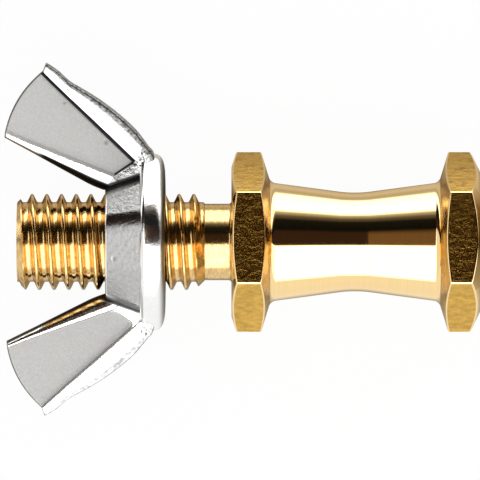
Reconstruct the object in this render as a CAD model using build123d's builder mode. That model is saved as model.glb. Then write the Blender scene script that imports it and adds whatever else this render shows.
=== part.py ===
from build123d import *
from math import cos, radians, sin, tan
import os

os.makedirs("parts", exist_ok=True)

# Camera stud: a brass spigot turned from hexagon bar, and the die-cast wing nut on its thread.
# It lies on its hexagon flats. The origin is the centre of the shoulder that a clamped fitting
# seats on, +X runs along the axis to the spigot's end and +Z is up. Sizes are millimetres.

# Hexagon bar
across_flats = 16.0

# Threaded shank, M10 coarse and right-handed, from the free end to the shoulder
thread_size = 10.0
thread_pitch = 1.5
thread_depth_ratio = 0.61343  # depth of an ISO external thread, in pitches
crest_allowance = 0.1  # each crest stands this far inside the nominal radius
crest_flat = 0.25
first_groove = 2.24  # from the free end to the middle of the first whole groove
thread_sides = 24  # each crest and root is a ring with this many sides
shank_length = 21.85
end_relief = 0.1  # how far the chamfer of the free end reaches below the thread's roots
neck_width = 2.7  # the undercut between the thread and the shoulder
neck_depth = 1.0  # the undercut below the crests

# Flanges at both ends of the spigot
flank_angle = 17.0  # each flange's inner cone, off the face
shoulder_land = 2.5  # length of the hexagon's corners at their full height
shoulder_face_diameter = 15.3
shoulder_chamfer_angle = 18.0  # off the face
end_land = 2.2
end_face_diameter = 14.2
end_chamfer_angle = 26.0

# Waisted barrel between the flanges
barrel_length = 17.2
barrel_end_diameter = 12.15
waist_diameter = 9.85
waist_radius = 10.0

# Wing nut on the thread
nut_gap = 4.5 * thread_pitch  # shoulder to the nut's bearing face
nut_turn = 7.5  # degrees about the axis, the +Y wing raised
thread_fit = 0.05  # radial clearance of the nut's bore over the crests

# Hub: a round collar and an eight-sided boss, with a chamfer at each mouth of the bore
hub_height = 6.1
mouth_chamfer = 0.3
boss_sides = 8
boss_wall = 0.75  # bore to flat, at the free end
boss_draft = 19.0
boss_edge_chamfer = 0.6
boss_foot = 2.2  # rise of the boss's foot, inside the collar
collar_height = 2.5
collar_wall = 2.65  # bore to the collar's widest
collar_seat_radius = 1.4
collar_fall = 0.2  # how much lower the collar is at the boss than at its seat

# Wings: a web between two beaded rims that run from the hub to the tip. Each rim is lofted through
# oval sections: the rise of each above the bearing face, how far it stands out from the bore, its
# width along the wing and its height through it. An oval is a polygon with this many sides.
oval_sides = 16
outer_rim = (
    (1.6, 1.25, 3.0, 3.4),
    (2.0, 3.05, 2.9, 3.4),
    (5.7, 7.4, 2.4, 3.2),
    (9.55, 10.55, 1.55, 3.0),
    (14.2, 14.5, 1.35, 2.75),
)
inner_rim = (
    (4.3, 0.15, 1.7, 3.2),
    (7.5, 1.75, 1.5, 3.1),
    (11.3, 3.7, 1.05, 2.9),
    (17.0, 6.2, 0.6, 2.5),
)
web_thickness = 1.8
root_thickness = 3.0  # the wing beside the hub, inside the sunk panel
panel_outer_corner = (3.65, 3.8)  # rise and stand of the panel's corners at the root
panel_inner_corner = (5.25, 2.0)
tip_centre = (8.2, 5.65)  # rise and stand of the centre of the tip's curve
tip_radius = 8.4

# ---------------------------------------------------------------------------------------------
# Derived sizes
# ---------------------------------------------------------------------------------------------
hex_corner = across_flats / 2 / cos(radians(30))
crest_radius = thread_size / 2 - crest_allowance
root_radius = thread_size / 2 - thread_depth_ratio * thread_pitch
thread_depth = crest_radius - root_radius
thread_end_chamfer = thread_depth + end_relief
neck_bottom = crest_radius - neck_depth

shoulder_face_radius = shoulder_face_diameter / 2
end_face_radius = end_face_diameter / 2
barrel_end_radius = barrel_end_diameter / 2
shoulder_chamfer = (hex_corner - shoulder_face_radius) * tan(radians(shoulder_chamfer_angle))
end_chamfer = (hex_corner - end_face_radius) * tan(radians(end_chamfer_angle))
flank_length = (hex_corner - barrel_end_radius) * tan(radians(flank_angle))

shoulder_land_end = shoulder_chamfer + shoulder_land
barrel_start = shoulder_land_end + flank_length
barrel_stop = barrel_start + barrel_length
end_land_start = barrel_stop + flank_length
end_land_stop = end_land_start + end_land
spigot_length = end_land_stop + end_chamfer
waist_middle = (barrel_start + barrel_stop) / 2

# the thread's relief is a row of V grooves at its pitch, up to the neck
groove_half_width = (thread_pitch - crest_flat) / 2
groove_run = shank_length - first_groove - groove_half_width - neck_width - neck_depth
roots = [-shank_length + first_groove + k * thread_pitch for k in range(int(groove_run / thread_pitch) + 1)]
thread_outline = [
    (-shank_length, root_radius - end_relief),
    (-shank_length + thread_end_chamfer, crest_radius),
    (-neck_width - neck_depth, crest_radius),
    (-neck_width, neck_bottom - thread_fit),
]
for root in roots:
    thread_outline += [
        (root - groove_half_width, crest_radius),
        (root, root_radius),
        (root + groove_half_width, crest_radius),
    ]

bore_radius = crest_radius + thread_fit
collar_radius = bore_radius + collar_wall
boss_height = hub_height - boss_foot
boss_root_flat = bore_radius + boss_wall + boss_height * tan(radians(boss_draft))

# ---------------------------------------------------------------------------------------------
# Stud: hexagon bar, then everything that the lathe takes off
# ---------------------------------------------------------------------------------------------
with BuildPart() as stud:
    with BuildSketch(Plane.YZ.offset(-neck_width - neck_depth)):
        RegularPolygon(across_flats / 2, 6, major_radius=False)
    extrude(amount=neck_width + neck_depth + spigot_length)

    with BuildSketch() as turned:
        with BuildLine():
            Polyline(
                (-neck_width - neck_depth / 2, 0),
                (-neck_width - neck_depth / 2, neck_bottom),
                (0, neck_bottom),
                (0, shoulder_face_radius),
                (shoulder_chamfer, hex_corner),
                (shoulder_land_end, hex_corner),
                (barrel_start, barrel_end_radius),
                (waist_middle, waist_diameter / 2),
                (barrel_stop, barrel_end_radius),
                (end_land_start, hex_corner),
                (end_land_stop, hex_corner),
                (spigot_length, end_face_radius),
                (spigot_length, 0),
                close=True,
            )
        make_face()
        middle = turned.vertices().sort_by_distance((waist_middle, waist_diameter / 2))[0]
        fillet(middle, radius=waist_radius)
    revolve(axis=Axis.X, mode=Mode.INTERSECT)

    for station, radius in sorted(thread_outline):
        with BuildSketch(Plane.YZ.offset(station)):
            RegularPolygon(radius, thread_sides)
    loft(ruled=True)
stud.part.label = "stud"
export_step(stud.part, "parts/stud.step")

# ---------------------------------------------------------------------------------------------
# Wing nut. Its wing plane holds the axis and both wings: x there is the rise from the bearing
# face towards the stud's free end, and y is the reach from the axis towards the raised wing.
# ---------------------------------------------------------------------------------------------
turn = radians(nut_turn)
seat = (-nut_gap, 0, 0)
raised = (0, cos(turn), sin(turn))
wing_plane = Plane(origin=seat, x_dir=(-1, 0, 0), z_dir=(0, sin(turn), -cos(turn)))
hub_plane = Plane(origin=seat, x_dir=raised, z_dir=(-1, 0, 0))
between_wings = Plane(origin=seat, z_dir=raised)


def on_wing(rise, stand, *_):
    """A point of the wing plane, from its rise and how far it stands out from the bore."""
    return (rise, bore_radius + stand)


def across_rim(before, here, after):
    """The plane of one section of a rim, square to the way from the section before to the one after."""
    way = wing_plane.from_local_coords(on_wing(*after)) - wing_plane.from_local_coords(on_wing(*before))
    return Plane(
        origin=wing_plane.from_local_coords(on_wing(*here)),
        x_dir=way.cross(wing_plane.z_dir),
        z_dir=way,
    )


def oval(width, height):
    """The corners of a section of a rim."""
    turns = [radians(360 * (corner + 0.5) / oval_sides) for corner in range(oval_sides)]
    return [(width / 2 * cos(angle), height / 2 * sin(angle)) for angle in turns]


with BuildPart() as wing:
    # the web, and the thicker root beside the hub
    with BuildSketch(wing_plane):
        with BuildLine():
            Polyline(*[on_wing(*section) for section in outer_rim + inner_rim[::-1]], close=True)
        make_face()
    extrude(amount=web_thickness / 2, both=True)
    with BuildSketch(wing_plane):
        with BuildLine():
            Polyline(
                on_wing(*panel_outer_corner),
                on_wing(*panel_inner_corner),
                on_wing(*inner_rim[0]),
                on_wing(*outer_rim[0]),
                on_wing(*outer_rim[1]),
                close=True,
            )
        make_face()
    extrude(amount=root_thickness / 2, both=True)

    # the beaded rims
    for rim in (outer_rim, inner_rim):
        for before, here, after in zip(rim[:1] + rim, rim, rim[1:] + rim[-1:]):
            with BuildSketch(across_rim(before, here, after)):
                Polygon(*oval(here[2], here[3]), align=None)
        loft()

    # the curve of the tip
    with BuildSketch(wing_plane):
        with Locations(on_wing(*tip_centre)):
            Circle(tip_radius)
    extrude(amount=tip_radius, both=True, mode=Mode.INTERSECT)

with BuildPart() as boss:
    with BuildSketch(hub_plane.offset(boss_foot)):
        RegularPolygon(boss_root_flat, boss_sides, major_radius=False, rotation=180 / boss_sides)
    extrude(amount=boss_height, taper=boss_draft)
    corners = boss.edges().filter_by(lambda edge: abs(edge.tangent_at(0.5).X) > 0.5)
    chamfer(corners, length=boss_edge_chamfer)

with BuildPart() as wing_nut:
    add(wing.part)
    mirror(about=between_wings)
    add(boss.part)

    with BuildSketch(wing_plane) as collar:
        with BuildLine():
            Polyline(
                (0, 0),
                (0, collar_radius),
                (collar_height, collar_radius - collar_fall),
                (collar_height, 0),
                close=True,
            )
        make_face()
        seat_edge = collar.vertices().sort_by_distance((0, collar_radius))[0]
        fillet(seat_edge, radius=collar_seat_radius)
    revolve(axis=Axis.X)

    with BuildSketch(wing_plane):
        with BuildLine():
            Polyline(
                (0, 0),
                (0, bore_radius + mouth_chamfer),
                (mouth_chamfer, bore_radius),
                (hub_height - mouth_chamfer, bore_radius),
                (hub_height, bore_radius + mouth_chamfer),
                (hub_height, 0),
                close=True,
            )
        make_face()
    revolve(axis=Axis.X, mode=Mode.SUBTRACT)
wing_nut.part.label = "wing_nut"
export_step(wing_nut.part, "parts/wing_nut.step")
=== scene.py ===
"""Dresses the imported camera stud: a spigot turned from brass hexagon bar, and the plated wing nut on its thread.

The stud lies along X with its hexagon flats on the floor. Sizes here are millimetres unless a name says otherwise,
and a mesh is scaled to metres as it becomes an object.
"""

import logging
from collections.abc import Iterable
from dataclasses import dataclass
from enum import Enum
from math import atan2, cos, exp, hypot, pi, radians, sin, tan
from typing import ClassVar

import bmesh
import bpy
from mathutils import Matrix, Vector, noise


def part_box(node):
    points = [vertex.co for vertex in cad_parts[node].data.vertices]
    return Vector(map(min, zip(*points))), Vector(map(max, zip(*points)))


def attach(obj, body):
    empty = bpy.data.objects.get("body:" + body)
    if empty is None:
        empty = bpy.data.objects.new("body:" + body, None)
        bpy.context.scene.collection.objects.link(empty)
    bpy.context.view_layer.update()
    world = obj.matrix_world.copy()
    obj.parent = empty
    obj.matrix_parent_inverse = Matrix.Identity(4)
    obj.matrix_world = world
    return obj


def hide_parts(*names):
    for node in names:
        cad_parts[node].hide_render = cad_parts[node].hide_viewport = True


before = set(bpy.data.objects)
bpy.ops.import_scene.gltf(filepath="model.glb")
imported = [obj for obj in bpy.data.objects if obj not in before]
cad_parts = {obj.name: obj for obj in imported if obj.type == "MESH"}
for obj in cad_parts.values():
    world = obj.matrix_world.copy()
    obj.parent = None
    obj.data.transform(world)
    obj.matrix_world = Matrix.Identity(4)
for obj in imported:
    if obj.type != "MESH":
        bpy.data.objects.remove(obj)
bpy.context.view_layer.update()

MM = 0.001
PAINTED_SHADE_LAYER = "painted_shade"  # the vertex layer of painted shade, from 0 to 1: darkness painted into recesses, edges and where parts meet, and dark reflections painted on
LOG = logging.getLogger("camera_stud")


class Body(Enum):
    """The bodies that a piece can ride on."""

    STUD = "stud"
    WING_NUT = "wing_nut"


class Slot(Enum):
    """The material slots of the record."""

    BRASS = "brass"
    PLATED = "plated_casting"


class Side(Enum):
    """Which of the two wings: the one at +Y is raised off the floor, the one at -Y is lowered."""

    RAISED = 1
    LOWERED = -1


# ---- Mesh helpers ----


@dataclass(frozen=True)
class Corner:
    """A corner of a turned outline.

    Attributes:
        x: its place along the axis.
        radius: its distance from the axis.
        ease: how far back from the corner its rounding starts, 0 for a sharp corner.
    """

    x: float
    radius: float
    ease: float = 0.0


def node_span(node: str, axis: int) -> tuple[float, float]:
    """How far a CAD node reaches along one axis.

    Args:
        node: the node's name.
        axis: 0, 1 or 2.

    Returns:
        Its lowest and highest coordinate, in millimetres.
    """
    low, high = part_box(node)
    return low[axis] / MM, high[axis] / MM


def close_up(bm: bmesh.types.BMesh, gap: float = 1e-4) -> None:
    """Merges doubled vertices and turns every face outwards.

    Args:
        bm: the mesh.
        gap: vertices nearer than this become one.
    """
    bmesh.ops.remove_doubles(bm, verts=bm.verts, dist=gap)
    bmesh.ops.recalc_face_normals(bm, faces=bm.faces)


def round_off(
    bm: bmesh.types.BMesh, geom: list, offset: float, segments: int, affect: str = "EDGES"
) -> list[bmesh.types.BMFace]:
    """Rounds edges or corners.

    Args:
        bm: the mesh.
        geom: the edges, or the vertices.
        offset: how far back from each its rounding starts.
        segments: how many steps the rounding has.
        affect: EDGES or VERTICES.

    Returns:
        The new faces.
    """
    return bmesh.ops.bevel(
        bm,
        geom=geom,
        offset=offset,
        offset_type="OFFSET",
        segments=segments,
        profile=0.5,
        affect=affect,
        clamp_overlap=False,
        material=-1,
    )["faces"]


def turn_outline(corners: list[Corner], steps: int) -> bmesh.types.BMesh:
    """Turns a flat outline round the X axis.

    Args:
        corners: the outline in order, closed by its last side. A side on the axis is left open.
        steps: how many steps a full turn has.

    Returns:
        The turned body as a new mesh.
    """
    bm = bmesh.new()
    points = [bm.verts.new((corner.x, corner.radius, 0.0)) for corner in corners]
    bm.faces.new(points)
    for corner, point in zip(corners, points):
        if corner.ease:
            round_off(bm, [point], corner.ease, 8, "VERTICES")
    bmesh.ops.delete(bm, geom=bm.faces[:], context="FACES_ONLY")
    on_axis = [edge for edge in bm.edges if all(abs(vert.co.y) < 1e-6 for vert in edge.verts)]
    bmesh.ops.delete(bm, geom=on_axis, context="EDGES")
    bmesh.ops.spin(
        bm,
        geom=bm.verts[:] + bm.edges[:],
        cent=(0, 0, 0),
        axis=(1, 0, 0),
        angle=2 * pi,
        steps=steps,
        use_merge=True,
    )
    close_up(bm)
    return bm


def cut_off(bm: bmesh.types.BMesh, point: Vector, normal: Vector, finish: int = 0) -> None:
    """Cuts away what lies beyond a plane, and closes the cut.

    Args:
        bm: the mesh.
        point: a point of the plane.
        normal: the plane's normal, towards what is cut away.
        finish: the material index of the new faces.
    """
    cut = bmesh.ops.bisect_plane(
        bm,
        geom=bm.verts[:] + bm.edges[:] + bm.faces[:],
        dist=1e-4,
        plane_co=point,
        plane_no=normal,
        clear_outer=True,
    )
    rim = [item for item in cut["geom_cut"] if isinstance(item, bmesh.types.BMEdge)]
    for face in bmesh.ops.holes_fill(bm, edges=rim, sides=0)["faces"]:
        face.material_index = finish


def add_object(name: str, data: bpy.types.ID) -> bpy.types.Object:
    """Adds an object of some data, such as a mesh, to the scene."""
    thing = bpy.data.objects.new(name, data)
    bpy.context.scene.collection.objects.link(thing)
    return thing


def place(
    bm: bmesh.types.BMesh,
    name: str,
    body: Body,
    materials: list[bpy.types.Material],
    sharp: float = 35.0,
    true_flats: bool = False,
) -> bpy.types.Object:
    """Makes a piece of a mesh, in metres, and sets it on its body.

    Args:
        bm: the mesh, in millimetres. It is used up.
        name: the piece's name.
        body: the body that it rides on.
        materials: its materials, in the order of the faces' indices.
        sharp: edges that turn by more than this many degrees stay sharp.
        true_flats: whether its flats shade flat, up to the rounds beside them.

    Returns:
        The new object.
    """
    bmesh.ops.scale(bm, vec=(MM, MM, MM), verts=bm.verts)
    for face in bm.faces:
        face.smooth = True
    mesh = bpy.data.meshes.new(name)
    bm.to_mesh(mesh)
    bm.free()
    mesh.set_sharp_from_angle(angle=radians(sharp))
    for material in materials:
        mesh.materials.append(material)
    piece = add_object(name, mesh)
    if true_flats:
        piece.modifiers.new("true_flats", "WEIGHTED_NORMAL").keep_sharp = True
    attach(piece, body.value)
    LOG.info("%s: %d faces on %s", name, len(mesh.polygons), body.value)
    return piece


def rail_at(rail: tuple[tuple[float, float], ...], along: float) -> Vector:
    """A point of a rail, smoothly between its given points.

    Args:
        rail: points, evenly numbered along the rail.
        along: 0 at the first point, 1 at the last.

    Returns:
        The point, as a 2D vector.
    """
    spot = min(max(along, 0.0), 1.0) * (len(rail) - 1)
    before = min(int(spot), len(rail) - 2)
    t = spot - before
    a, b, c, d = (Vector(rail[min(max(before + k, 0), len(rail) - 1)]) for k in (-1, 0, 1, 2))
    return b + 0.5 * t * (c - a + t * (2 * a - 5 * b + 4 * c - d + t * (3 * (b - c) + d - a)))


def ramp(value: float, low: float, high: float) -> float:
    """An eased step from 0 at low to 1 at high."""
    t = min(max((value - low) / (high - low), 0.0), 1.0)
    return t * t * (3 - 2 * t)


def flat_top(spot: float) -> float:
    """A flat-topped profile: 0 at both ends of its width, which runs from 0 to 1, and 1 over nearly all of it."""
    return (1 - abs(2 * spot - 1) ** 10) ** 0.1


# ---- The brass stud ----


@dataclass
class Spigot:
    """The turned half of the stud: the undercut neck, two hexagon flanges and the waisted barrel between them.

    Attributes:
        length: from the shoulder to the end face.
        across_flats: size of the hexagon bar.
        stock_radius: of the stock, wider than the hexagon's corners.
        edge_break: how far back from the edges of the flats their rounding starts.
    """

    length: float
    across_flats: float
    neck_radius: float = 3.9
    neck_length: float = 2.7
    shoulder_face_radius: float = 7.65
    shoulder_chamfer_angle: float = 18.0
    end_face_radius: float = 7.1
    end_chamfer_angle: float = 26.0
    flank_angle: float = 17.0
    shoulder_land: float = 2.5
    end_land: float = 2.2
    barrel_end_radius: float = 6.075
    waist_radius: float = 4.925
    stock_radius: float = 10.2
    steps: int = 144
    edge_break: float = 0.14

    def outline(self) -> list[Corner]:
        """The outline that the lathe cuts, in stock wider than the hexagon's corners.

        Returns:
            Its corners, from the neck to the end face.
        """
        corner = self.across_flats / 2 / cos(radians(30))
        shoulder_slope, end_slope, flank_slope = (
            tan(radians(angle)) for angle in (self.shoulder_chamfer_angle, self.end_chamfer_angle, self.flank_angle)
        )
        land_start = (corner - self.shoulder_face_radius) * shoulder_slope
        flank = (corner - self.barrel_end_radius) * flank_slope
        barrel_start = land_start + self.shoulder_land + flank
        end_land_stop = self.length - (corner - self.end_face_radius) * end_slope
        barrel_stop = end_land_stop - self.end_land - flank
        stock = self.stock_radius
        return [
            Corner(-self.neck_length - 0.5, 0),
            Corner(-self.neck_length - 0.5, self.neck_radius),
            Corner(0, self.neck_radius, 0.3),
            Corner(0, self.shoulder_face_radius, 0.06),
            Corner((stock - self.shoulder_face_radius) * shoulder_slope, stock),
            Corner(barrel_start - (stock - self.barrel_end_radius) * flank_slope, stock),
            Corner(barrel_start, self.barrel_end_radius, 0.5),
            Corner((barrel_start + barrel_stop) / 2, self.waist_radius, 1.45),
            Corner(barrel_stop, self.barrel_end_radius, 0.5),
            Corner(barrel_stop + (stock - self.barrel_end_radius) * flank_slope, stock),
            Corner(self.length - (stock - self.end_face_radius) * end_slope, stock),
            Corner(self.length, self.end_face_radius, 0.08),
            Corner(self.length, 0),
        ]

    def build(
        self, turned: bpy.types.Material, drawn: bpy.types.Material, worn: bpy.types.Material
    ) -> bpy.types.Object:
        """Turns the outline and cuts the hexagon's flats.

        Args:
            turned: the finish of what the lathe cut.
            drawn: the finish of the bar's own flats and of the flanges' inner cones.
            worn: the finish of the undercut neck.

        Returns:
            The piece.
        """
        bm = turn_outline(self.outline(), self.steps)
        for turn in range(6):
            angle = radians(30 + 60 * turn)
            normal = Vector((0, cos(angle), sin(angle)))
            cut_off(bm, normal * self.across_flats / 2, normal, finish=1)
        close_up(bm, 0.02)
        arris = [
            edge
            for edge in bm.edges
            if len(edge.link_faces) == 2
            and any(face.material_index for face in edge.link_faces)
            and edge.calc_face_angle(0) > radians(15)
        ]
        for face in round_off(bm, arris, self.edge_break, 3):
            face.material_index = 0
        for face in bm.faces:
            along = face.calc_center_median().x
            if along < -0.01:
                face.material_index = 2
            elif abs(face.normal.x) > 0.8 and self.shoulder_land < along < self.length - self.end_land:
                face.material_index = 1
        close_up(bm)
        return place(bm, "brass_spigot", Body.STUD, [turned, drawn, worn], true_flats=True)


@dataclass
class ThreadedShank:
    """The right-hand coarse thread, from its chamfered end to the neck.

    Attributes:
        length: from the shoulder to the thread's free end.
        crest_at: place along the axis of one crest on the +Y side.
        end_radius: of the free end's face, inside its chamfer.
        ridge: half of the ridge, from the middle of a groove to the middle of a crest, as place and radius.
    """

    length: float
    neck_length: float = 2.7
    neck_radius: float = 3.9
    pitch: float = 1.5
    crest_at: float = -20.36
    end_radius: float = 4.06
    ridge: tuple[tuple[float, float], ...] = (
        (0.0, 4.06),
        (0.19, 4.07),
        (0.25, 4.11),
        (0.34, 4.28),
        (0.44, 4.49),
        (0.54, 4.7),
        (0.61, 4.83),
        (0.67, 4.885),
        (0.75, 4.9),
    )
    steps: int = 96

    def build(self, threaded: bpy.types.Material, turned: bpy.types.Material) -> bpy.types.Object:
        """Winds one ridge of the thread into a helix and turns its two ends down.

        Args:
            threaded: the finish of the thread.
            turned: the finish of the end face.

        Returns:
            The piece.
        """
        turns = int(self.length / self.pitch) + 2
        start = self.crest_at - self.pitch / 2
        while start > -self.length - self.pitch:
            start -= self.pitch
        across = list(self.ridge) + [(self.pitch - x, radius) for x, radius in self.ridge[-2::-1]]
        bm = bmesh.new()
        points = [bm.verts.new((start + x, radius, 0)) for x, radius in across]
        for near, far in zip(points, points[1:]):
            bm.edges.new((near, far))
        bmesh.ops.spin(
            bm,
            geom=bm.verts[:] + bm.edges[:],
            cent=(0, 0, 0),
            axis=(1, 0, 0),
            dvec=(self.pitch / self.steps, 0, 0),
            angle=2 * pi * turns,
            steps=self.steps * turns,
            use_merge=False,
        )
        close_up(bm, 0.004)
        cut_off(bm, Vector((-self.length, 0, 0)), Vector((-1, 0, 0)), finish=1)
        cut_off(bm, Vector((-self.neck_length, 0, 0)), Vector((1, 0, 0)), finish=1)
        for vert in bm.verts:
            reach = hypot(vert.co.y, vert.co.z)
            allowed = min(
                self.end_radius + vert.co.x + self.length,
                self.neck_radius - self.neck_length - vert.co.x,
            )
            if reach > allowed:
                vert.co.y *= allowed / reach
                vert.co.z *= allowed / reach
        bmesh.ops.recalc_face_normals(bm, faces=bm.faces)
        return place(bm, "brass_thread", Body.STUD, [threaded, turned])


# ---- The wing nut ----


@dataclass
class Hub:
    """The nut's hub: a round collar that swells where it meets the wings, and an eight-sided boss.

    Attributes:
        bearing: place along the axis of the face that clamps.
        turn: of the nut about the axis, in degrees, as in the CAD.
        height: from the bearing face to the boss's free face.
        collar_radius: at the bearing face, before its edge is rounded.
        collar_back_radius: the same at the collar's back.
        swell: how much the collar grows in line with the wings.
        swell_angle: how far round the axis from them it falls to about a third, in degrees.
        flat_radius: from the axis to a facet, at the free face.
        draft: of the facets, in degrees.
        boss_foot: rise of the boss's foot above the bearing face.
        arris_round: how far back from each edge between two facets its rounding starts.
        lip_round: the same round the free face.
    """

    bearing: float
    turn: float = 7.5
    height: float = 6.1
    bore_radius: float = 4.95
    mouth_chamfer: float = 0.3
    collar_radius: float = 7.6
    collar_back_radius: float = 7.4
    collar_height: float = 2.5
    swell: float = 1.55
    swell_angle: float = 21.0
    sides: int = 8
    flat_radius: float = 5.7
    draft: float = 19.0
    boss_foot: float = 2.2
    arris_round: float = 1.25
    lip_round: float = 0.2
    steps: int = 160

    def flat_at(self, rise: float) -> float:
        """How far a facet of the boss lies from the axis, at a rise above the bearing face."""
        return self.flat_radius + (self.height - rise) * tan(radians(self.draft))

    def collar(self, polished: bpy.types.Material) -> bpy.types.Object:
        """Turns the collar and swells it towards both wings.

        Args:
            polished: its finish.

        Returns:
            The piece.
        """
        wide = self.bore_radius + self.mouth_chamfer
        corners = [
            Corner(0, wide),
            Corner(0, self.collar_radius, 1.35),
            Corner(self.collar_height, self.collar_back_radius, 0.5),
            Corner(self.collar_height + 0.3, wide),
            Corner(self.collar_height, self.bore_radius),
            Corner(self.mouth_chamfer, self.bore_radius),
        ]
        bm = turn_outline(corners, self.steps)
        painted_shade = bm.verts.layers.float.new(PAINTED_SHADE_LAYER)
        for vert in bm.verts:
            seat_shade = 0.65 + 0.3 * ramp(vert.co.y, -3, 3)  # painted shade on the edge at the seat, darker beside the raised wing
            vert[painted_shade] = seat_shade * (1 - ramp(vert.co.x, 0.15, 0.7))
            reach = hypot(vert.co.y, vert.co.z)
            aside = abs(atan2(vert.co.z, abs(vert.co.y)))
            share = ramp(reach, self.bore_radius + 0.6, self.collar_back_radius)
            grown = reach + self.swell * share * exp(-((aside / radians(self.swell_angle)) ** 2))
            vert.co.y *= grown / reach
            vert.co.z *= grown / reach
        self.seat(bm)
        return place(bm, "nut_collar", Body.WING_NUT, [polished], sharp=40.0)

    def boss(self, satin: bpy.types.Material, polished: bpy.types.Material) -> bpy.types.Object:
        """Shapes the faceted boss round its bore.

        Args:
            satin: the finish of its facets.
            polished: the finish of its lip and bore.

        Returns:
            The piece.
        """
        tall = self.height - self.boss_foot
        to_corner = 1 / cos(pi / self.sides)
        bm = bmesh.new()
        bmesh.ops.create_cone(
            bm,
            cap_ends=True,
            segments=self.sides,
            radius1=self.flat_at(self.boss_foot) * to_corner,
            radius2=self.flat_radius * to_corner,
            depth=tall,
            matrix=Matrix.Rotation(pi / self.sides, 4, "Z"),
        )
        bmesh.ops.translate(bm, vec=(0, 0, self.boss_foot + tall / 2), verts=bm.verts)
        arris = [edge for edge in bm.edges if abs(edge.verts[0].co.z - edge.verts[1].co.z) > 1]
        round_off(bm, arris, self.arris_round, 8)
        top = [face for face in bm.faces if face.normal.z > 0.99]
        lip = [edge for face in top for edge in face.edges]
        for face in round_off(bm, lip, self.lip_round, 3):
            face.material_index = 1
        caps = [face for face in bm.faces if abs(face.normal.z) > 0.99 and len(face.verts) > 8]
        caps.sort(key=lambda face: face.calc_center_median().z)
        foot_loop, top_loop = (list(cap.edges) for cap in caps)
        around = len(top_loop)
        bmesh.ops.delete(bm, geom=caps, context="FACES_ONLY")
        wide = self.bore_radius + self.mouth_chamfer
        loops = [top_loop]
        for radius, rise in (
            (wide, self.height),
            (self.bore_radius, self.height - self.mouth_chamfer),
            (self.bore_radius, self.collar_height + 0.2),
            (wide, self.boss_foot),
        ):
            ring = bmesh.ops.create_circle(
                bm, segments=around, radius=radius, matrix=Matrix.Translation((0, 0, rise))
            )["verts"]
            loops.append(list({edge for vert in ring for edge in vert.link_edges}))
        loops.append(foot_loop)
        # joined by angle, because bridge_loops twists two loops that lie in one plane
        rings = [
            sorted({vert for edge in loop for vert in edge.verts}, key=lambda vert: atan2(vert.co.y, vert.co.x))
            for loop in loops
        ]
        for near, far in zip(rings, rings[1:]):
            for here in range(around):
                face = bm.faces.new((near[here - 1], near[here], far[here], far[here - 1]))
                face.material_index = 1
        bm.transform(Matrix(((0, 0, 1, 0), (1, 0, 0, 0), (0, 1, 0, 0), (0, 0, 0, 1))))
        painted_shade = bm.verts.layers.float.new(PAINTED_SHADE_LAYER)
        for vert in bm.verts:
            aside = abs(atan2(vert.co.z, abs(vert.co.y)))
            vert[painted_shade] = 1 - ramp(aside, radians(24), radians(31))  # painted shade on the facet that a wing grows from
        self.seat(bm)
        return place(bm, "nut_boss", Body.WING_NUT, [satin, polished], sharp=50.0, true_flats=True)

    def seat(self, bm: bmesh.types.BMesh) -> None:
        """Sets a hub shape, made with its rise along +X and the wings along Y, on the thread.

        Args:
            bm: the mesh to move.
        """
        turn = Matrix.Rotation(radians(self.turn), 4, "X")
        bm.transform(Matrix.Translation((self.bearing, 0, 0)) @ turn @ Matrix.Diagonal((-1, 1, 1, 1)))
        close_up(bm)


@dataclass(frozen=True)
class ShapeAndShade:
    """How one wing came out of the die, and how much painted shade its recesses and edges have, each from 0 to 1.

    Attributes:
        outer_wall_shade: painted shade on the wall between the outer bead and the panel.
        inner_wall_shade: painted shade on the wall between the inner rim and the panel.
        flank: painted dark reflection and shade on the side of the inner rim that faces the thread.
        flank_shade_share: how much of the rim's width that painted side takes.
        flank_shade_end: how far along the wing it stays dark, where the tip is 1.
        edge: painted shade, mottled, on the bead's outer edge and near its root.
        wall: width of the wall beside the bead.
        corner: radius of the panel's corners at the root.
        crest: how far across the inner rim its crest lies, from the side that faces the thread.
        shrink: how much shorter the wing came out than its pattern.
        lean: how far it leans towards the axis, in degrees.
    """

    outer_wall_shade: float
    inner_wall_shade: float
    flank: float
    flank_shade_share: float
    flank_shade_end: float
    edge: float
    wall: float
    corner: float
    crest: float
    shrink: float
    lean: float


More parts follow.
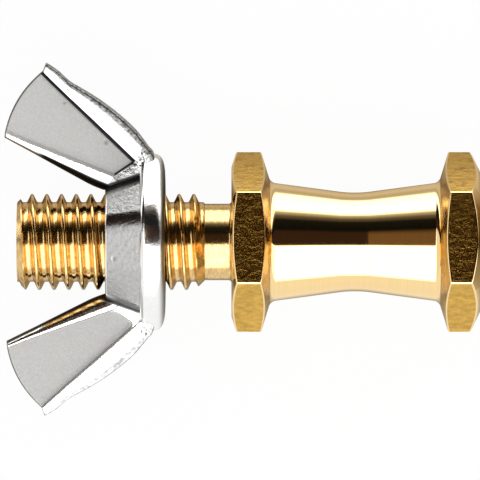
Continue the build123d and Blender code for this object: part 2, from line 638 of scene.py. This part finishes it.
@dataclass
class Wing:
    """One wing: two beaded rims with a sunk panel between them, from the hub to the tip.

    Each rail is a line along the wing in the wing's own plane, as rise above the bearing face and reach from the
    axis, and all four are given at the same places from the root, inside the hub, to the tip. The wing is made
    from a grid, with its columns along the rails and its rows across them, from the outer edge to the inner one.
    A row or a column is given as its share of the grid.

    Attributes:
        side: which wing.
        hub: the hub that it grows from.
        outer_rail: the bead's outer edge.
        outer_step: where the bead steps down to the panel.
        inner_step: where the panel steps up to the inner rim.
        inner_rail: the inner rim's edge, beside the thread.
        bead_height: above the wing's middle plane, at the root and at the tip.
        rim_height: the same of the inner rim.
        crown_slope: how steeply the tops of both rise towards +Y.
        panel_height: of the sunk panel.
        panel_start: where along the wing the panel starts, as a share of it.
        tip_bow: how far the tip's edge bulges.
        tip_round: how far back from the tip its edge starts to round over.
        length: of the wing along its bead, about.
        bead_rows: rows that the bead takes.
        rim_rows: rows that the inner rim takes.
        wall_rows: share of the rows between them that each wall of the panel takes.
        cast_rows: the first and last row that can have the cast finish.
        cast_wall_row: from this row on, the wall beside the inner rim has the cast finish too.
        nose: columns that round the tip over.
        bright_rows: rows in which the tip's edge has less painted shade.
        tip_painted_shade: painted shade on the tip's rounded edge, in those rows and in the others.
        root: the place that a wing shrinks and leans about.
        shape_and_shade: how each wing came out, and its painted shade, which differs by side as light falls
            differently on the two wings.
    """

    side: Side
    hub: Hub
    outer_rail: tuple[tuple[float, float], ...] = (
        (0.8, 7.0), (1.15, 9.0), (1.7, 9.75), (2.2, 10.45), (3.0, 11.45), (4.25, 12.65),
        (5.9, 13.98), (7.4, 15.0), (8.7, 15.78), (9.8, 16.45), (10.95, 17.5), (12.15, 18.3),
    )
    outer_step: tuple[tuple[float, float], ...] = (
        (1.9, 6.2), (2.35, 7.3), (2.72, 7.98), (3.08, 8.42), (4.3, 9.6), (5.62, 10.88),
        (7.13, 12.34), (8.45, 13.62), (9.5, 14.63), (10.4, 15.52), (11.3, 16.42), (12.15, 17.3),
    )
    inner_step: tuple[tuple[float, float], ...] = (
        (3.9, 5.6), (4.55, 6.05), (5.0, 6.45), (5.4, 6.85), (6.66, 7.34), (8.16, 7.93),
        (9.92, 8.61), (11.42, 9.2), (12.6, 9.66), (13.68, 10.08), (14.9, 10.6), (16.15, 11.15),
    )
    inner_rail: tuple[tuple[float, float], ...] = (
        (5.2, 5.25), (5.75, 5.28), (6.15, 5.32), (6.55, 5.42), (7.65, 5.88), (9.02, 6.62),
        (10.62, 7.5), (11.99, 8.26), (13.07, 8.86), (14.05, 9.4), (15.2, 10.02), (16.4, 10.68),
    )
    bead_height: tuple[float, float] = (1.75, 1.4)
    rim_height: tuple[float, float] = (1.55, 1.25)
    crown_slope: float = 0.04
    panel_height: float = 0.9
    panel_start: float = 2.8 / 11
    tip_bow: float = 0.95
    tip_round: float = 0.3
    length: float = 15.5
    columns: int = 170
    rows: int = 100
    bead_rows: float = 0.32
    rim_rows: float = 0.26
    wall_rows: float = 0.16
    cast_rows: tuple[float, float] = (0.33, 0.745)
    cast_wall_row: float = 0.67
    nose: float = 0.05
    bright_rows: float = 0.3
    tip_painted_shade: tuple[float, float] = (0.5, 0.9)
    root: ClassVar[Vector] = Vector((3.5, 8.0))
    # the two wings are one casting; their painted shade differs by side because light falls differently on them
    shape_and_shade: ClassVar[dict[Side, ShapeAndShade]] = {
        Side.RAISED: ShapeAndShade(
            outer_wall_shade=1.0, inner_wall_shade=0.0, flank=1.0, flank_shade_share=0.5, flank_shade_end=0.72, edge=0.95,
            wall=0.3, corner=0.35, crest=0.58, shrink=0.0, lean=0.0,
        ),
        Side.LOWERED: ShapeAndShade(
            outer_wall_shade=0.35, inner_wall_shade=0.1, flank=0.95, flank_shade_share=0.2, flank_shade_end=1.2, edge=0.7,
            wall=0.12, corner=1.0, crest=0.8, shrink=0.02, lean=2.2,
        ),
    }

    def across(self, row: float, along: float) -> tuple[Vector, float, float]:
        """A point of the wing's outline plan, the height of its surface there and how much painted shade it has.

        Args:
            row: 0 at the outer edge, 1 at the inner edge.
            along: 0 at the root, 1 at the tip.

        Returns:
            Rise and reach as a 2D vector, the height above the wing's middle plane, and 0 to 1 for the painted
            shade.
        """
        outer, step_out, step_in, inner = (
            rail_at(rail, along) for rail in (self.outer_rail, self.outer_step, self.inner_step, self.inner_rail)
        )
        bead, rim = (root + (tip - root) * along for root, tip in (self.bead_height, self.rim_height))
        shape_and_shade = self.shape_and_shade[self.side]
        slope = self.side.value * self.crown_slope
        if row < self.bead_rows:
            spot = (1 - cos(pi * row / self.bead_rows)) / 2
            point = outer.lerp(step_out, spot)
            foot = rim if spot > 0.5 else 0.0
            crown = flat_top(spot)
            height = foot + (bead - foot) * crown + crown * slope * (point.y - (outer.y + step_out.y) / 2)
            # painted shade: mottled along the bead's outer edge and near its root, and a dark line where the bead
            # meets the panel's wall
            mottle = noise.noise(Vector((point.x, point.y, height + self.side.value)) * 4.5)
            painted_shade = shape_and_shade.edge * (0.8 + 0.35 * mottle) * (1 - ramp(spot, 0.25, 0.42))
            painted_shade = max(painted_shade, shape_and_shade.edge * (0.5 + 1.2 * mottle) * (1 - ramp(along, 0.22, 0.3)))
            painted_shade = max(painted_shade, shape_and_shade.outer_wall_shade * ramp(spot, 0.93, 0.98) * ramp(along, 0.2, 0.24))
        elif row > 1 - self.rim_rows:
            spot = (1 - cos(pi * (1 - row) / self.rim_rows)) / 2
            point = inner.lerp(step_in, spot)
            height = rim * (1 - (1 - min(spot / shape_and_shade.crest, 1)) ** 2) ** 0.5
            height += flat_top(spot) * slope * (point.y - (inner.y + step_in.y) / 2)
            # painted dark reflection and shade on the side of the rim that faces the thread
            painted_shade = shape_and_shade.flank * (1 - ramp(spot, 0.85 * shape_and_shade.flank_shade_share, 1.15 * shape_and_shade.flank_shade_share))
            painted_shade *= 1 - ramp(along, shape_and_shade.flank_shade_end - 0.05, shape_and_shade.flank_shade_end + 0.05)
        else:
            width = (step_in - step_out).length
            spot = (row - self.bead_rows) / (1 - self.bead_rows - self.rim_rows)
            if spot < self.wall_rows:
                edge = shape_and_shade.wall * spot / self.wall_rows
            elif spot > 1 - self.wall_rows:
                edge = width - shape_and_shade.wall * (1 - spot) / self.wall_rows
            else:
                edge = shape_and_shade.wall + (width - 2 * shape_and_shade.wall) * (spot - self.wall_rows) / (1 - 2 * self.wall_rows)
            point = step_out.lerp(step_in, edge / width)
            from_end = (along - self.panel_start) * self.length
            height, painted_shade = self.floor(min(edge, width - edge), from_end, rim)
            # painted shade on the panel's walls, set by which wall is nearer
            painted_shade *= shape_and_shade.outer_wall_shade if min(edge, from_end) < width - edge else shape_and_shade.inner_wall_shade
        share = (point - outer).length / max((inner - outer).length, 1e-6)
        outwards = Vector((0.852, 0.524))  # about the way that the wing's middle line runs at its tip
        point += outwards * self.tip_bow * along**3 * 4 * share * (1 - share)
        point = self.root + (1 - shape_and_shade.shrink) * Matrix.Rotation(-radians(shape_and_shade.lean), 2) @ (point - self.root)
        # painted shade where the wing meets the boss
        beside_boss = point.y - self.hub.flat_at(point.x)
        painted_shade = max(painted_shade, 0.95 * (1 - ramp(beside_boss, 0.15, 0.5)))
        return point, height, min(painted_shade, 1.0)

    def floor(self, from_side: float, from_end: float, ledge: float) -> tuple[float, float]:
        """How high the surface stands between the rims, in and around the sunk panel, and how much painted shade it
        has.

        Args:
            from_side: distance from the nearer rim.
            from_end: distance from the panel's end at the root, negative in the root itself.
            ledge: height of the rims and the root beside it.

        Returns:
            The height above the wing's middle plane, and 0 to 1 for the painted shade: 1 on the panel's wall.
        """
        radius = self.shape_and_shade[self.side].corner
        if from_end < radius and from_side < radius:
            inside = radius - hypot(radius - from_end, radius - from_side)
        else:
            inside = min(from_end, from_side)
        wall = self.shape_and_shade[self.side].wall
        # painted shade on the panel's wall
        painted_shade = ramp(inside, -0.1 * wall, 0.15 * wall) * (1 - ramp(inside, 0.95 * wall, 1.3 * wall))
        return ledge + (self.panel_height - ledge) * ramp(inside, 0, wall), painted_shade

    def build(self, polished: bpy.types.Material, cast: bpy.types.Material) -> bpy.types.Object:
        """Shapes both faces of the wing from one grid.

        Args:
            polished: the finish of the rims.
            cast: the finish of the sunk panel.

        Returns:
            The piece.
        """
        bm = bmesh.new()
        layer = bm.verts.layers.float.new(PAINTED_SHADE_LAYER)
        bmesh.ops.create_grid(bm, x_segments=self.columns, y_segments=self.rows, size=0.5)
        finished = self.tip_round / self.length
        panel = []
        for vert in bm.verts:
            column, row = vert.co.x + 0.5, vert.co.y + 0.5
            if column < 1 - self.nose:
                along, closing = column / (1 - self.nose) * (1 - finished), 1.0
            else:
                angle = (column - 1 + self.nose) / self.nose * pi / 2
                along, closing = 1 - finished + finished * sin(angle), max(cos(angle), 0.0) ** 0.8
            point, height, painted_shade = self.across(row, along)
            # painted shade along the rounded edge of the tip
            tip_shade = self.tip_painted_shade[0] if row < self.bright_rows else self.tip_painted_shade[1]
            vert[layer] = max(painted_shade, tip_shade * ramp(-closing, -0.99, -0.9))
            first, last = self.cast_rows
            if first < row < last and (height < self.panel_height + 0.05 or row > self.cast_wall_row):
                panel.append(vert)
            vert.co = (point.x, point.y, height * closing)
        sunk = set(panel)
        for face in bm.faces:
            face.material_index = int(all(vert in sunk for vert in face.verts))
        back = bmesh.ops.duplicate(bm, geom=bm.verts[:] + bm.edges[:] + bm.faces[:])["geom"]
        behind = [item for item in back if isinstance(item, bmesh.types.BMVert)]
        bmesh.ops.scale(bm, vec=(1, 1, -1), verts=behind)
        bmesh.ops.reverse_faces(bm, faces=[item for item in back if isinstance(item, bmesh.types.BMFace)])
        close_up(bm, 0.002)
        angle = radians(self.hub.turn)
        out = Vector((0, cos(angle), sin(angle))) * self.side.value
        normal = Vector((0, -sin(angle), cos(angle)))
        seat = Matrix((Vector((-1, 0, 0)), out, normal)).transposed().to_4x4()
        seat.translation = Vector((self.hub.bearing, 0, 0))
        bm.transform(seat)
        bmesh.ops.recalc_face_normals(bm, faces=bm.faces)
        name = f"nut_wing_{self.side.name.lower()}"
        return place(bm, name, Body.WING_NUT, [polished, cast], sharp=60.0)


# ---- Finishes ----


Input = float | tuple[float, ...] | bpy.types.NodeSocket  # what a node's input can be given


@dataclass
class Graph:
    """A node tree with short ways to add and join its nodes."""

    tree: bpy.types.NodeTree

    def add(self, kind: str, **settings: object) -> bpy.types.Node:
        """Adds a node.

        Args:
            kind: its type, without the word ShaderNode.
            settings: properties of the node, or input sockets where the name is a socket's, with _ for a space.

        Returns:
            The node.
        """
        node = self.tree.nodes.new(kind if kind.startswith("Node") else f"ShaderNode{kind}")
        for name, value in settings.items():
            if hasattr(node, name):
                setattr(node, name, value)
            else:
                node.inputs[name.replace("_", " ")].default_value = value
        return node

    def join(self, out: bpy.types.NodeSocket, into: bpy.types.NodeSocket) -> None:
        """Links an output to an input."""
        self.tree.links.new(out, into)

    def maths(self, operation: str, *values: Input) -> bpy.types.NodeSocket:
        """Adds a Math node.

        Args:
            operation: what it does.
            values: numbers or sockets for its inputs.

        Returns:
            Its output.
        """
        node = self.add("Math", operation=operation)
        self.feed(node.inputs, values)
        return node.outputs[0]

    def vector(self, operation: str, first: Input, second: Input) -> bpy.types.NodeSocket:
        """Adds a Vector Math node.

        Args:
            operation: what it does.
            first: its first vector.
            second: its second vector, or the factor of SCALE.

        Returns:
            Its output.
        """
        node = self.add("VectorMath", operation=operation)
        self.feed((node.inputs[0], node.inputs[3 if operation == "SCALE" else 1]), (first, second))
        return node.outputs[0]

    def feed(self, inputs: Iterable[bpy.types.NodeSocket], values: tuple[Input, ...]) -> None:
        """Gives a node's inputs numbers or links.

        Args:
            inputs: the inputs, in order. Those past the last value are left alone.
            values: what each is given.
        """
        for place_in, value in zip(inputs, values):
            if isinstance(value, bpy.types.NodeSocket):
                self.join(value, place_in)
            else:
                place_in.default_value = value

    def spread(
        self, value: bpy.types.NodeSocket, low: Input, high: Input, to_low: float, to_high: float
    ) -> bpy.types.NodeSocket:
        """Maps a value's range onto another, and stops at its ends.

        Args:
            value: the socket to map.
            low: start of its range.
            high: end of its range.
            to_low: result at the start.
            to_high: result at the end.

        Returns:
            The mapped value.
        """
        node = self.add("MapRange", clamp=True, interpolation_type="SMOOTHSTEP")
        self.feed(node.inputs, (value, low, high, to_low, to_high))
        return node.outputs[0]

    def stops(
        self, value: bpy.types.NodeSocket, points: tuple[tuple[float, tuple[float, float, float]], ...], peak: float
    ) -> bpy.types.NodeSocket:
        """Runs through a row of colours as a value grows.

        Args:
            value: the socket to follow.
            points: the value at each colour, in order, and the colour.
            peak: the brightest part of any colour.

        Returns:
            The colour.
        """
        low, high = points[0][0], points[-1][0]
        share = self.maths("DIVIDE", self.maths("SUBTRACT", value, low), high - low)
        ramp_node = self.add("ValToRGB")
        self.join(share, ramp_node.inputs[0])
        row = ramp_node.color_ramp.elements
        row.remove(row[1])
        for number, (at, colour) in enumerate(points):
            element = row.new((at - low) / (high - low)) if number else row[0]
            element.color = (*(part / peak for part in colour), 1)
        return self.vector("SCALE", ramp_node.outputs[0], peak)

    def blend(self, share: Input, below: Input, above: Input) -> bpy.types.NodeSocket:
        """Mixes two colours.

        Args:
            share: a number or mask, 0 for the first colour and 1 for the second.
            below: the first colour.
            above: the second colour.

        Returns:
            The mixed colour.
        """
        node = self.add("Mix", data_type="RGBA")
        self.feed((node.inputs[0], node.inputs[6], node.inputs[7]), (share, below, above))
        return node.outputs[2]


class Effect(Enum):
    """The surface effects that several finishes share."""

    GRAIN = "stretched_grain"
    STAIN = "handling_stain"
    PITS = "casting_pits"


def effect_group(effect: Effect) -> bpy.types.NodeTree:
    """Makes the node group of one effect, or finds it.

    Each takes a position in metres, a size in metres and a share, and gives a value from 0 to 1.

    Args:
        effect: which effect.

    Returns:
        The group.
    """
    group = bpy.data.node_groups.get(effect.value)
    if group:
        return group
    group = bpy.data.node_groups.new(effect.value, "ShaderNodeTree")
    for name, kind in (("Position", "NodeSocketVector"), ("Size", "NodeSocketFloat"), ("Share", "NodeSocketFloat")):
        group.interface.new_socket(name, in_out="INPUT", socket_type=kind)
    group.interface.new_socket("Value", in_out="OUTPUT", socket_type="NodeSocketFloat")
    graph = Graph(group)
    inputs, output = graph.add("NodeGroupInput"), graph.add("NodeGroupOutput")
    position, size, share = inputs.outputs[0], inputs.outputs[1], inputs.outputs[2]
    scaled = graph.vector("SCALE", position, graph.maths("DIVIDE", 1.0, size))
    if effect is Effect.GRAIN:
        cloud = graph.add("TexNoise", Scale=1.0, Detail=6.0, Roughness=0.65)
        graph.join(scaled, cloud.inputs["Vector"])
        value = graph.spread(cloud.outputs[0], 0.3, 0.7, 0.0, 1.0)
        value = graph.maths("MULTIPLY", value, share)
    elif effect is Effect.STAIN:
        cloud = graph.add("TexNoise", Scale=1.0, Detail=4.0, Roughness=0.6, Distortion=0.6)
        graph.join(scaled, cloud.inputs["Vector"])
        low = graph.maths("SUBTRACT", 0.85, graph.maths("MULTIPLY", share, 0.7))
        value = graph.spread(cloud.outputs[0], low, graph.maths("ADD", low, 0.3), 0.0, 1.0)
    else:
        cells = graph.add("TexVoronoi", Scale=1.0, Randomness=1.0)
        graph.join(scaled, cells.inputs["Vector"])
        pit = graph.maths("LESS_THAN", cells.outputs["Color"], share)
        value = graph.maths("MULTIPLY", graph.spread(cells.outputs["Distance"], 0.1, 0.4, 1.0, 0.0), pit)
    graph.join(value, output.inputs[0])
    return group


@dataclass(frozen=True)
class MetalFinish:
    """A metal surface with grain, stains and pits, darkened where a vertex layer paints shade.

    Attributes:
        name: the material's name.
        colour: linear RGB of the clean metal.
        stain: linear RGB where handling has dulled it.
        roughness: of the clean metal.
        stretch: how the grain is drawn out, as a scale of the position along X, Y and Z.
        grain_size: of the grain, in metres.
        grain_height: of the grain's relief, in metres.
        grain_shade: how much the grain darkens the colour.
        stain_size: of the stains, in metres.
        stain_share: how much of the surface they cover, from 0 to 1.
        stain_roughness: how much rougher a stain is.
        pit_size: spacing of the pits, in metres.
        pit_share: how many of those places have one, from 0 to 1.
        pit_height: depth of a pit, in metres.
        metallic: 1 for bright metal, less where the plating is dull and lights up like paint.
        painted_shade: linear RGB of the painted shade, where the vertex layer is 1.
    """

    name: str
    colour: tuple[float, float, float]
    stain: tuple[float, float, float]
    roughness: float
    stretch: tuple[float, float, float] = (1.0, 1.0, 1.0)
    grain_size: float = 0.0003
    grain_height: float = 0.000004
    grain_shade: float = 0.1
    stain_size: float = 0.003
    stain_share: float = 0.3
    stain_roughness: float = 0.12
    pit_size: float = 0.001
    pit_share: float = 0.1
    pit_height: float = 0.00003
    metallic: float = 1.0
    painted_shade: tuple[float, float, float] = (0.012, 0.012, 0.013)

    def build(self) -> bpy.types.Material:
        """Makes the material.

        Returns:
            The material.
        """
        material = bpy.data.materials.new(self.name)
        material.use_nodes = True
        graph = Graph(material.node_tree)
        shader = material.node_tree.nodes["Principled BSDF"]
        shader.inputs["Metallic"].default_value = self.metallic
        position = graph.add("TexCoord").outputs["Object"]
        drawn = graph.add("Mapping", Scale=self.stretch)
        graph.join(position, drawn.inputs["Vector"])
        grain = self.effect(graph, Effect.GRAIN, drawn.outputs[0], self.grain_size, 1.0)
        stain = self.effect(graph, Effect.STAIN, position, self.stain_size, self.stain_share)
        pits = self.effect(graph, Effect.PITS, position, self.pit_size, self.pit_share)
        base = graph.blend(stain, (*self.colour, 1), (*self.stain, 1))
        shade = graph.maths("MULTIPLY", grain, self.grain_shade)
        dark = tuple(0.25 * part for part in self.stain)
        base = graph.blend(graph.maths("MAXIMUM", shade, graph.maths("MULTIPLY", pits, 0.5)), base, (*dark, 1))
        # painted shade: the vertex layer blends the colour towards the painted shade colour and roughens it
        painted_dark = graph.add("Attribute", attribute_name=PAINTED_SHADE_LAYER).outputs["Fac"]
        base = graph.blend(painted_dark, base, (*self.painted_shade, 1))
        graph.join(base, shader.inputs["Base Color"])
        rough = graph.maths("ADD", self.roughness, graph.maths("MULTIPLY", stain, self.stain_roughness))
        rough = graph.maths("ADD", rough, graph.maths("MULTIPLY", painted_dark, 0.3))
        graph.join(rough, shader.inputs["Roughness"])
        relief = graph.maths(
            "SUBTRACT",
            graph.maths("MULTIPLY", grain, self.grain_height),
            graph.maths("MULTIPLY", pits, self.pit_height),
        )
        bump = graph.add("Bump", Strength=1.0, Distance=1.0)
        graph.join(relief, bump.inputs["Height"])
        graph.join(bump.outputs[0], shader.inputs["Normal"])
        return material

    @staticmethod
    def effect(
        graph: Graph, effect: Effect, position: bpy.types.NodeSocket, size: float, share: float
    ) -> bpy.types.NodeSocket:
        """Places an effect's group with its own values.

        Args:
            graph: the material's nodes.
            effect: which effect.
            position: where on the surface.
            size: its size in metres.
            share: its share, from 0 to 1.

        Returns:
            The effect's value.
        """
        node = graph.add("Group", node_tree=effect_group(effect), Size=size, Share=share)
        graph.join(position, node.inputs["Position"])
        return node.outputs["Value"]


TURNED_BRASS = MetalFinish(
    "turned_brass", (0.9, 0.66, 0.32), (0.6, 0.38, 0.14), 0.07,
    stretch=(30, 0.6, 0.6), grain_size=0.004, grain_height=0.0000006, grain_shade=0.06, stain_share=0.12,
    pit_share=0.0,
)
THREAD_BRASS = MetalFinish(
    "thread_brass", (0.84, 0.58, 0.25), (0.5, 0.27, 0.08), 0.14,
    stretch=(3.0, 0.8, 0.8), grain_size=0.0007, grain_height=0.000005, grain_shade=0.4, stain_size=0.0012,
    stain_share=0.4, pit_share=0.2,
)
DRAWN_BRASS = MetalFinish(
    "drawn_brass", (0.71, 0.42, 0.078), (0.42, 0.23, 0.04), 0.16,
    stretch=(0.8, 1.3, 1.3), grain_size=0.0008, grain_height=0.000013, grain_shade=0.4, stain_size=0.0012,
    stain_share=0.4, pit_share=0.0,
)
POLISHED_PLATE = MetalFinish(
    "polished_plate", (0.86, 0.86, 0.85), (0.6, 0.6, 0.6), 0.14,
    grain_size=0.0006, grain_height=0.000008, grain_shade=0.05, stain_share=0.1, pit_share=0.0,
)
SATIN_PLATE = MetalFinish(
    "satin_plate", (0.5, 0.495, 0.485), (0.36, 0.36, 0.36), 0.13,
    grain_size=0.0004, grain_height=0.00001, grain_shade=0.2, stain_share=0.3,
)
CAST_PLATE = MetalFinish(
    "cast_plate", (0.56, 0.55, 0.535), (0.47, 0.465, 0.455), 0.5,
    grain_size=0.00025, grain_height=0.00001, grain_shade=0.15, stain_share=0.3, pit_share=0.1, metallic=0.1,
)


# ---- Studio ----


@dataclass
class Studio:
    """The pale floor, the room and the lamps round the part, and the camera that looks down on it.

    Attributes:
        floor_height: height of the floor, in metres.
        reflected_room: what polished metal sees overhead: the angle from straight up towards +Y, in degrees, and
            the light there, where 1 is white. A dark strip hangs a little to the +Y side.
        painted_floor_shadow: what it sees on the floor, by place along Y in metres: a painted shadow of the part,
            darkest close to it, and painted light further out.
        peak: the brightest of them.
        left_light: the most that polished metal sees well beyond the thread's free end.
        right_light: the most that it sees well beyond the spigot's end.
        far_lean: how much further towards +Y, in degrees, the dark strip hangs beyond the thread's free end.
        warm_glow: a light in the dark strip, a little towards the thread's free end.
        plain_light: brightness of the room for every ray but a mirrored one.
        floor_white: share of plain white that the camera sees on the floor. The rest is its lit surface.
    """

    floor_height: float
    aim: tuple[float, float, float] = (0.00087, 0.0002, 0.0)
    elevation: float = 87.0
    distance: float = 0.8
    frame_width: float = 0.049
    peak: float = 3.2
    reflected_room: tuple[tuple[float, tuple[float, float, float]], ...] = (
        (-90, (1, 1, 1)),
        (-84, (3.2, 3.2, 3.2)),
        (-12, (3.2, 3.2, 3.2)),
        (-9.5, (0.04, 0.02, 0.014)),
        (18, (0.035, 0.018, 0.012)),
        (24, (0.003, 0.004, 0.004)),
        (43, (0.01, 0.01, 0.008)),
        (52, (0.15, 0.13, 0.1)),
        (60, (0.65, 0.62, 0.55)),
        (66, (3.2, 3.2, 3.2)),
        (90, (3.2, 3.2, 3.2)),
    )
    painted_floor_shadow: tuple[tuple[float, tuple[float, float, float]], ...] = (
        (-0.045, (1.1, 1.1, 1.1)),
        (-0.012, (1.05, 1.05, 1.05)),
        (-0.007, (0.4, 0.35, 0.25)),
        (0.0, (0.06, 0.04, 0.02)),
        (0.007, (0.2, 0.12, 0.05)),
        (0.010, (0.65, 0.55, 0.4)),
        (0.015, (0.75, 0.7, 0.6)),
        (0.022, (0.55, 0.52, 0.46)),
        (0.029, (0.65, 0.62, 0.55)),
        (0.042, (2.8, 2.8, 2.8)),
    )
    left_light: float = 1.0
    right_light: float = 2.0
    far_lean: float = 36.0
    warm_glow: tuple[float, float, float] = (0.15, 0.09, 0.035)
    plain_light: float = 0.75
    floor_white: float = 0.95

    def camera(self) -> None:
        """Sets the camera above the part, a little towards its near side."""
        data = bpy.data.cameras.new("camera")
        data.sensor_width = 36.0
        data.lens = data.sensor_width * self.distance / self.frame_width
        data.clip_start, data.clip_end = 0.01, 10.0
        camera = add_object("camera", data)
        tilt = radians(90 - self.elevation)
        camera.location = Vector(self.aim) + self.distance * Vector((0, -sin(tilt), cos(tilt)))
        camera.rotation_euler = (tilt, 0, 0)
        bpy.context.scene.camera = camera

    def floor(self) -> None:
        """Lays a wide pale floor that keeps the part's shadow for the camera. Mirrored rays see a painted shadow
        and painted light instead.
        """
        bm = bmesh.new()
        bmesh.ops.create_grid(bm, x_segments=1, y_segments=1, size=1.5)
        bmesh.ops.translate(bm, vec=(0, 0, self.floor_height), verts=bm.verts)
        mesh = bpy.data.meshes.new("floor")
        bm.to_mesh(mesh)
        bm.free()
        add_object("floor", mesh)
        material = bpy.data.materials.new("pale_floor")
        material.use_nodes = True
        graph = Graph(material.node_tree)
        nodes = material.node_tree.nodes
        nodes.remove(nodes["Principled BSDF"])
        spot = graph.add("SeparateXYZ")
        graph.join(graph.add("TexCoord").outputs["Object"], spot.inputs[0])
        # painted shadow and light on the floor, as polished metal mirrors it
        mirrored = graph.stops(spot.outputs["Y"], self.painted_floor_shadow, self.peak)
        path = graph.add("LightPath")
        diffuse = graph.add("BsdfDiffuse", Color=(0.95, 0.95, 0.95, 1))
        glow = graph.add("Emission", Strength=1.0)
        graph.join(graph.blend(path.outputs["Is Glossy Ray"], (1, 1, 1, 1), mirrored), glow.inputs["Color"])
        shown = graph.add("MixShader")
        straight = graph.maths("MULTIPLY", path.outputs["Is Camera Ray"], self.floor_white)
        seen = graph.maths("MAXIMUM", path.outputs["Is Glossy Ray"], path.outputs["Is Transmission Ray"])
        graph.join(graph.maths("MAXIMUM", straight, seen), shown.inputs[0])
        graph.join(diffuse.outputs[0], shown.inputs[1])
        graph.join(glow.outputs[0], shown.inputs[2])
        graph.join(shown.outputs[0], nodes["Material Output"].inputs["Surface"])
        mesh.materials.append(material)

    def world(self) -> None:
        """Fills the room with plain light, and gives polished metal a bright room with a dark strip to mirror."""
        world = bpy.data.worlds.new("room")
        bpy.context.scene.world = world
        world.use_nodes = True
        graph = Graph(world.node_tree)
        background = world.node_tree.nodes["Background"]
        way = graph.add("SeparateXYZ")
        graph.join(graph.add("TexCoord").outputs["Generated"], way.inputs[0])
        turn = graph.maths("DEGREES", graph.maths("ARCTAN2", way.outputs["Y"], way.outputs["Z"]))
        lean = graph.spread(way.outputs["X"], -0.5, -0.32, self.far_lean, 0)
        mirrored = graph.stops(graph.maths("SUBTRACT", turn, lean), self.reflected_room, self.peak)
        left = graph.spread(way.outputs["X"], -0.6, -0.35, self.left_light, self.peak)
        right = graph.spread(way.outputs["X"], 0.4, 0.65, self.peak, self.right_light)
        capped = graph.vector("MINIMUM", mirrored, graph.maths("MINIMUM", left, right))
        in_strip = graph.maths("MULTIPLY", graph.spread(turn, -11, -9, 0, 1), graph.spread(turn, 12, 26, 1, 0))
        near_end = graph.spread(way.outputs["X"], -0.24, -0.18, 1, 0)
        far_end = graph.spread(way.outputs["X"], -0.5, -0.35, 0, 1)
        between = graph.maths("MULTIPLY", near_end, far_end)
        warm = graph.vector("SCALE", self.warm_glow, graph.maths("MULTIPLY", in_strip, between))
        glossy = graph.add("LightPath").outputs["Is Glossy Ray"]
        plain = (self.plain_light, self.plain_light, self.plain_light, 1)
        shown = graph.blend(glossy, plain, graph.vector("ADD", capped, warm))
        graph.join(shown, background.inputs["Color"])
        background.inputs["Strength"].default_value = 1.0

    def lamp(
        self, name: str, direction: tuple[float, float, float], size: tuple[float, float], radiance: float
    ) -> None:
        """Hangs a soft rectangular lamp that faces the part.

        Args:
            name: the lamp's name.
            direction: where it is, from the part, in metres.
            size: its width along X and its depth, in metres.
            radiance: how bright its face is, where 1 is white.
        """
        data = bpy.data.lights.new(name, "AREA")
        data.shape = "RECTANGLE"
        data.size, data.size_y = size
        data.energy = radiance * pi * size[0] * size[1]
        lamp = add_object(name, data)
        lamp.location = direction
        lamp.rotation_euler = Vector(direction).to_track_quat("Z", "Y").to_euler()
        lamp.visible_camera = False
        lamp.visible_glossy = False

    def build(self) -> None:
        """Sets up everything round the part."""
        bpy.context.scene.view_settings.view_transform = "Standard"
        self.camera()
        self.floor()
        self.world()
        self.lamp("near_lamp", (0, -0.3, 0.3), (0.6, 0.4), 1.1)
        self.lamp("far_lamp", (0, 0.4, 0.12), (0.6, 0.2), 0.3)


def main() -> None:
    """Builds every piece in order, then the studio."""
    logging.basicConfig(level=logging.INFO, format="%(name)s: %(message)s")
    turned, threaded, drawn = TURNED_BRASS.build(), THREAD_BRASS.build(), DRAWN_BRASS.build()
    polished, satin, cast = POLISHED_PLATE.build(), SATIN_PLATE.build(), CAST_PLATE.build()

    stud_x = node_span("stud", 0)
    stud_z = node_span("stud", 2)
    spigot = Spigot(length=stud_x[1], across_flats=stud_z[1] - stud_z[0]).build(turned, drawn, threaded)
    shank = ThreadedShank(length=-stud_x[0]).build(threaded, turned)
    for piece in (spigot, shank):
        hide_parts("stud")

    bearing = node_span("wing_nut", 0)[1]
    hub = Hub(bearing=bearing)
    nut = [hub.collar(polished), hub.boss(satin, polished)]
    nut += [Wing(side, hub).build(polished, cast) for side in Side]
    for piece in nut:
        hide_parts("wing_nut")

    Studio(floor_height=stud_z[0] * MM).build()


if __name__ == "__main__":
    main()
